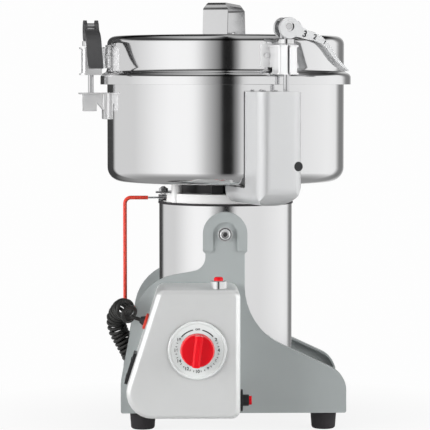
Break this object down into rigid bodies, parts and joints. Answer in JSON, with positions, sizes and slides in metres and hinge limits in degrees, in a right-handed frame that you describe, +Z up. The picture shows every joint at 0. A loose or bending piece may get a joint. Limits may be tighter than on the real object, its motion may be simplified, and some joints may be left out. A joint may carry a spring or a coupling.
{
  "type": "electric grain mill",
  "caption": "Tilting steel grain mill: lidded blade bowl on a motor that swings between side plates, timer control box, lever latches and a curly cord.",
  "frame": {"origin": "the bench surface, straight under the bowl's and motor's axis and midway between the side plates", "axes": "+Z up along the motor's axis, +X along the side plates towards the way the bowl tips, -Y towards the control box and the user"},
  "size_m": [0.2761, 0.2908, 0.4243],
  "materials": {
    "side_plates": "satin",
    "pan": "satin",
    "rubber": "matte",
    "zinc_steel": "satin",
    "bright_steel": "polished",
    "chrome": "polished",
    "box_paint": "satin",
    "white_nylon": "matte",
    "black_plastic": "matte",
    "red_plastic": "gloss",
    "timer_case": "matte",
    "silicone": "satin",
    "lamination": "matte",
    "brass": "satin",
    "cast_aluminium": "satin",
    "red_coating": "gloss",
    "cord_sheath": "satin",
    "lever_grey": "satin"
  },
  "bodies": {
    "base": {"front_plate": "side_plates", "rear_plate": "side_plates", "base_pan": "pan", "feet": "rubber", "base_screws": "zinc_steel", "pivot_bushes": "white_nylon", "control_box": "box_paint", "box_back": "side_plates", "timer_body": "timer_case", "dial_plate": "cast_aluminium", "start_collar": "chrome", "reset_body": "black_plastic", "rocker_frame": "black_plastic", "box_cord_gland": "red_plastic", "mains_gland": "rubber", "curly_cord": "cord_sheath"},
    "timer_knob": {"timer_knob": "red_plastic"},
    "start_button": {"start_button": "red_plastic"},
    "reset_button": {"reset_button": "red_plastic"},
    "rocker": {"rocker": "black_plastic"},
    "swing": {"motor_housing": "bright_steel", "motor_bottom_cover": "black_plastic", "motor_gasket": "rubber", "stator": "lamination", "bearings": "chrome", "brush_holders": "brass", "neck_ring": "cast_aluminium", "neck_posts": "zinc_steel", "pivot_bolts": "zinc_steel", "pivot_washers": "zinc_steel", "motor_cord_gland": "black_plastic", "bowl": "bright_steel", "shaft_seal": "rubber", "bowl_bracket": "bright_steel", "cord_hanger": "red_coating", "hanger_clamp": "zinc_steel", "arm": "cast_aluminium", "arm_plug": "black_plastic", "arm_screws": "zinc_steel", "lid_switch": "black_plastic"},
    "rotor": {"rotor_core": "lamination", "shaft": "zinc_steel", "fan": "black_plastic", "lower_blade": "bright_steel", "upper_blade": "bright_steel", "blade_nut": "bright_steel"},
    "lid": {"lid": "bright_steel", "lid_seal": "silicone", "lid_handle": "bright_steel", "lid_rivets": "zinc_steel", "left_lid_bracket": "bright_steel", "right_lid_bracket": "bright_steel", "post_rod": "zinc_steel", "right_collar": "zinc_steel", "right_lever_pin": "zinc_steel"},
    "right_lever": {"right_lever": "cast_aluminium"},
    "clamp": {"clamp_bolt": "zinc_steel", "left_collar": "zinc_steel", "left_lever_pin": "zinc_steel"},
    "left_lever": {"left_lever": "lever_grey"}
  },
  "joints": [
    {"name": "swing_pivot", "type": "hinge", "parent": "base", "child": "swing", "pos_m": [-0.0024, 0, 0.1953], "axis": [0, 1, 0], "range_deg": [0, 90], "deforming": ["curly_cord"]},
    {"name": "lid_lift", "type": "slide", "parent": "swing", "child": "lid", "axis": [0, 0, 1], "range_m": [0, 0.022]},
    {"name": "clamp_swing", "type": "hinge", "parent": "swing", "child": "clamp", "pos_m": [-0.13612, -0.01551, 0.324], "axis": [0.1132, -0.9936, 0], "range_deg": [0, 110]},
    {"name": "right_lever_turn", "type": "hinge", "parent": "lid", "child": "right_lever", "pos_m": [0.05463, -0.12564, 0.3983], "axis": [0.3987, -0.9171, 0], "range_deg": [0, 150]},
    {"name": "left_lever_turn", "type": "hinge", "parent": "clamp", "child": "left_lever", "pos_m": [-0.13612, -0.01551, 0.3983], "axis": [-0.9936, -0.1132, 0], "range_deg": [0, 150]},
    {"name": "rotor_spin", "type": "hinge", "parent": "swing", "child": "rotor", "pos_m": [0, 0, 0.25], "axis": [0, 0, 1], "continuous": true},
    {"name": "timer_turn", "type": "hinge", "parent": "base", "child": "timer_knob", "pos_m": [-0.0309, -0.15, 0.0896], "axis": [0, 1, 0], "range_deg": [0, 300]},
    {"name": "start_press", "type": "slide", "parent": "base", "child": "start_button", "axis": [0, 0, -1], "range_m": [0, 0.0025], "stiffness_N_per_m": 300, "springref_m": -0.002},
    {"name": "reset_press", "type": "slide", "parent": "base", "child": "reset_button", "axis": [-1, 0, 0], "range_m": [0, 0.0018], "stiffness_N_per_m": 300, "springref_m": -0.002},
    {"name": "rocker_tilt", "type": "hinge", "parent": "base", "child": "rocker", "pos_m": [-0.09372, -0.109, 0.068], "axis": [0, 1, 0], "range_deg": [0, 14]}
  ],
  "couplings": [
    {"joint": "clamp_swing", "follows": "lid_lift", "rad_per_m": 87.266}
  ]
}
